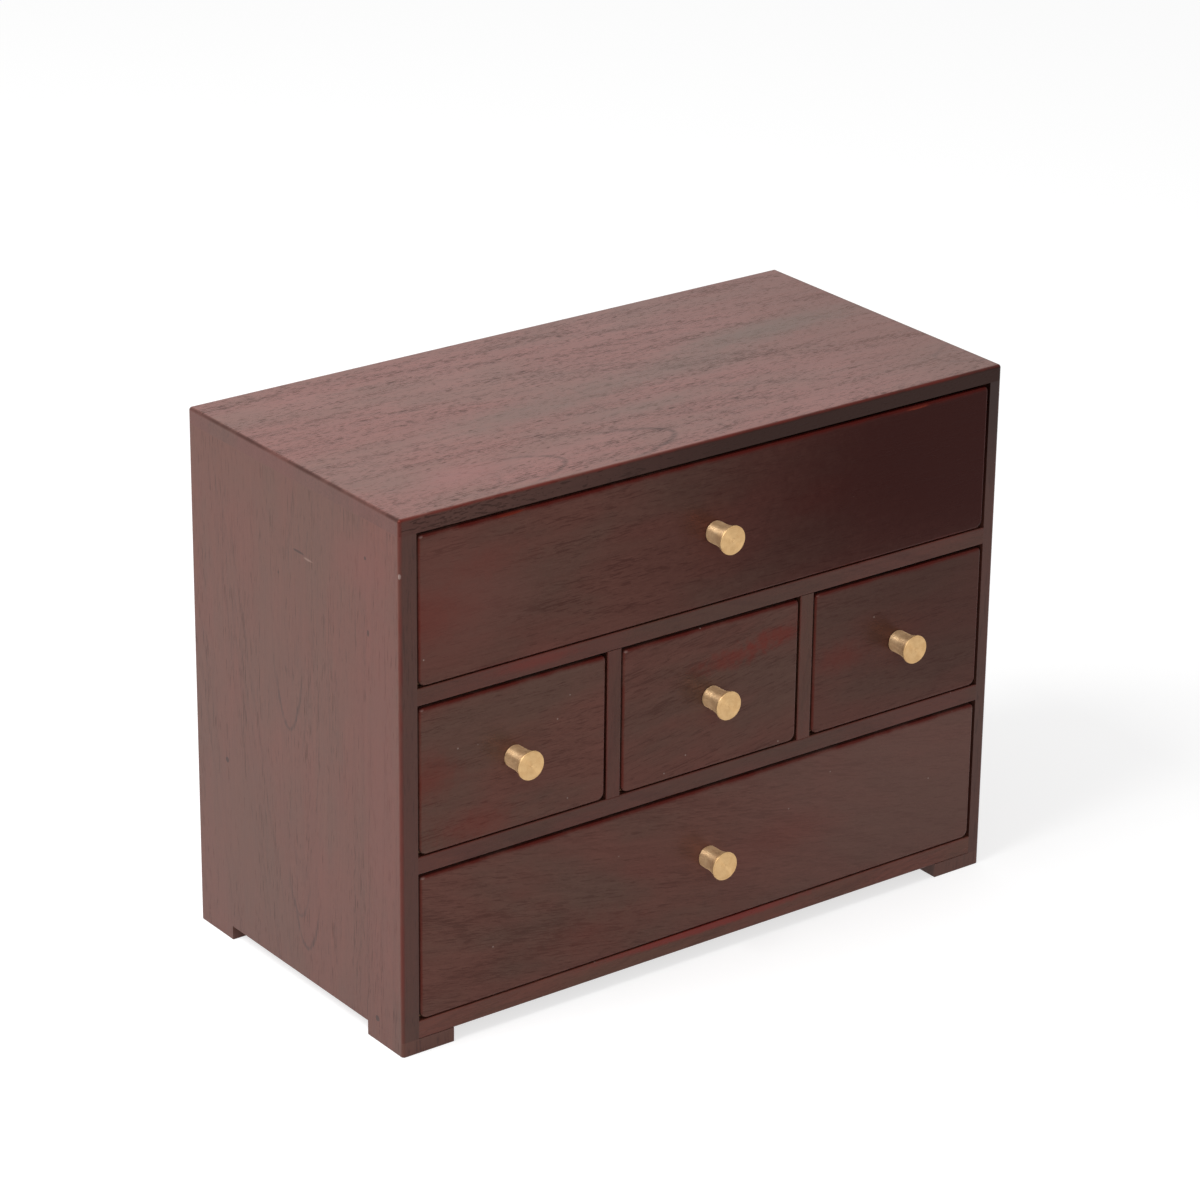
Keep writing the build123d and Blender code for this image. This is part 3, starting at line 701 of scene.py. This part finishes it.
def brassFinish(name):
    # tool lines are a noise of v that changes slowly with u; a tarnish noise blends bright with dull, on the
    # face both times its tone, and the gloss is stretched across the lines
    material, tree, shader = newFinish(name)
    turned = tree.nodes.new("ShaderNodeUVMap")
    turned.uv_map = "turned"
    parts = tree.nodes.new("ShaderNodeSeparateXYZ")
    tree.links.new(turned.outputs["UV"], parts.inputs[0])
    u, v = parts.outputs[0], parts.outputs[1]
    spiral = vector(tree, times(tree, u, brassLook["round"]), times(tree, v, brassLook["outward"]), 0.0)
    toolLines = noise(tree, spiral, detail=3.0, roughness=0.7)
    tarnish = noise(tree, scaled(tree, objectPlace(tree), brassLook["tarnishBumps"]),
                    detail=4.0, roughness=0.65)
    faceBright, faceDull = [tuple(c * t for c, t in zip(brassLook[key], brassLook["faceTone"]))
                            for key in ("bright", "dull")]
    onFace = ramp(tree, v, *brassLook["faceStart"])  # the face is handled more, and duller
    patchy = ramp(tree, tarnish, *brassLook["patchRamp"])
    colour = blend(tree, onFace, blend(tree, patchy, brassLook["bright"], brassLook["dull"]),
                   blend(tree, patchy, faceBright, faceDull))
    colour = blend(tree, ramp(tree, toolLines, *brassLook["lineRamp"]), colour, brassLook["line"])
    plug(tree, shader.inputs["Base Color"], colour)
    plug(tree, shader.inputs["Roughness"],
         ramp(tree, toolLines, *brassLook["glossRamp"], *brassLook["gloss"]))
    shader.inputs["Metallic"].default_value = 1.0
    shader.inputs["Anisotropic"].default_value = brassLook["brushed"]
    shader.inputs["Anisotropic Rotation"].default_value = brassLook["quarterTurn"]
    tangent = tree.nodes.new("ShaderNodeTangent")
    tangent.direction_type = "UV_MAP"
    tangent.uv_map = "turned"
    tree.links.new(tangent.outputs[0], shader.inputs["Tangent"])
    plug(tree, shader.inputs["Normal"], bump(tree, toolLines, brassLook["lineDepth"] * mm))
    return material


brass = brassFinish("turned_brass")
rows, faceMiddle = knobProfile(knobForm)
for drawer in drawerNames:
    low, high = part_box(drawer + "_knob")
    axisPoint = ((low.x + high.x) / 2, high.y, (low.z + high.z) / 2)
    knob = lathe(drawer + "_turned_knob", rows, faceMiddle, axisPoint, knobForm["turns"])
    knob.data.materials.append(brass)
    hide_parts(drawer + "_knob")
    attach(knob, drawer)
print("knobs turned")


# Floor, background and lights
studio = {"floorHalf": 4.0, "floorColour": 0.50, "floorLift": 0.67, "ambient": 0.45, "aim": (0, 0, 0.1),
          "key": ((-1.00, 0.05, 1.25), 0.9, 20.5), "fill": ((-0.5, -1.9, 0.9), 1.2, 6.0)}


def seenStraight(tree):
    # 1 where a camera, mirror or glass ray looks at the backdrop, otherwise 0
    path = tree.nodes.new("ShaderNodeLightPath")
    return calc(tree, "MAXIMUM", path.outputs["Is Camera Ray"],
                calc(tree, "MAXIMUM", path.outputs["Is Glossy Ray"], path.outputs["Is Transmission Ray"]))


def makeFloor(half, colour, lift):
    # a flat square; its matt colour takes the shadow, and a little light is added where it is seen straight
    mesh = bpy.data.meshes.new("studio_floor")
    corners = [(-half, -half, 0), (half, -half, 0), (half, half, 0), (-half, half, 0)]
    mesh.from_pydata(corners, [], [(0, 1, 2, 3)])
    floor = bpy.data.objects.new("studio_floor", mesh)
    bpy.context.scene.collection.objects.link(floor)
    material = bpy.data.materials.new("pale_floor")
    material.use_nodes = True
    tree = material.node_tree
    tree.nodes.clear()
    matt = tree.nodes.new("ShaderNodeBsdfDiffuse")
    matt.inputs["Color"].default_value = (colour, colour, colour, 1)
    glow = tree.nodes.new("ShaderNodeEmission")
    plug(tree, glow.inputs["Strength"], times(tree, seenStraight(tree), lift))
    both = tree.nodes.new("ShaderNodeAddShader")
    output = tree.nodes.new("ShaderNodeOutputMaterial")
    tree.links.new(matt.outputs[0], both.inputs[0])
    tree.links.new(glow.outputs[0], both.inputs[1])
    tree.links.new(both.outputs[0], output.inputs["Surface"])
    floor.data.materials.append(material)


def makeWorld(ambient):
    # strength = 1 where it is seen straight, and ambient where it only lights
    world = bpy.data.worlds.new("studio")
    bpy.context.scene.world = world
    world.use_nodes = True
    tree = world.node_tree
    background = tree.nodes["Background"]
    background.inputs["Color"].default_value = (1, 1, 1, 1)
    plug(tree, background.inputs["Strength"],
         total(tree, times(tree, seenStraight(tree), 1.0 - ambient), ambient))


def areaLight(name, place, size, power):
    # a square lamp that looks at the middle of the chest
    data = bpy.data.lights.new(name, "AREA")
    data.shape = "SQUARE"
    data.size = size
    data.energy = power
    lamp = bpy.data.objects.new(name, data)
    bpy.context.scene.collection.objects.link(lamp)
    lamp.location = place
    lamp.rotation_euler = (Vector(studio["aim"]) - Vector(place)).to_track_quat("-Z", "Y").to_euler()


makeFloor(studio["floorHalf"], studio["floorColour"], studio["floorLift"])
makeWorld(studio["ambient"])
areaLight("key_softbox", *studio["key"])
areaLight("front_fill", *studio["fill"])

# Camera: place, aim and lens come from a fit to the carcass's corners in the photograph
cameraFit = {"place": (-1.02763, -1.36365, 0.86118), "azimuth": -36.897, "elevation": 22.948, "roll": 0.671,
             "lens": 132.67, "sensor": 36.0}


def makeCamera(fit):
    # the camera looks along minus its third column; the roll turns the first two about it
    azimuth, elevation, roll = [math.radians(fit[k]) for k in ("azimuth", "elevation", "roll")]
    back = Vector((math.sin(azimuth) * math.cos(elevation), -math.cos(azimuth) * math.cos(elevation),
                   math.sin(elevation)))
    right = Vector((math.cos(azimuth), math.sin(azimuth), 0))
    up = back.cross(right)
    turnedRight = math.cos(roll) * right + math.sin(roll) * up
    turnedUp = -math.sin(roll) * right + math.cos(roll) * up
    data = bpy.data.cameras.new("camera")
    data.lens = fit["lens"]
    data.sensor_width = fit["sensor"]
    camera = bpy.data.objects.new("camera", data)
    bpy.context.scene.collection.objects.link(camera)
    turn = Matrix((turnedRight, turnedUp, back)).transposed()
    camera.matrix_world = Matrix.Translation(Vector(fit["place"])) @ turn.to_4x4()
    bpy.context.scene.camera = camera


makeCamera(cameraFit)
bpy.context.scene.view_settings.view_transform = "Standard"
print("stage, lights and camera set")
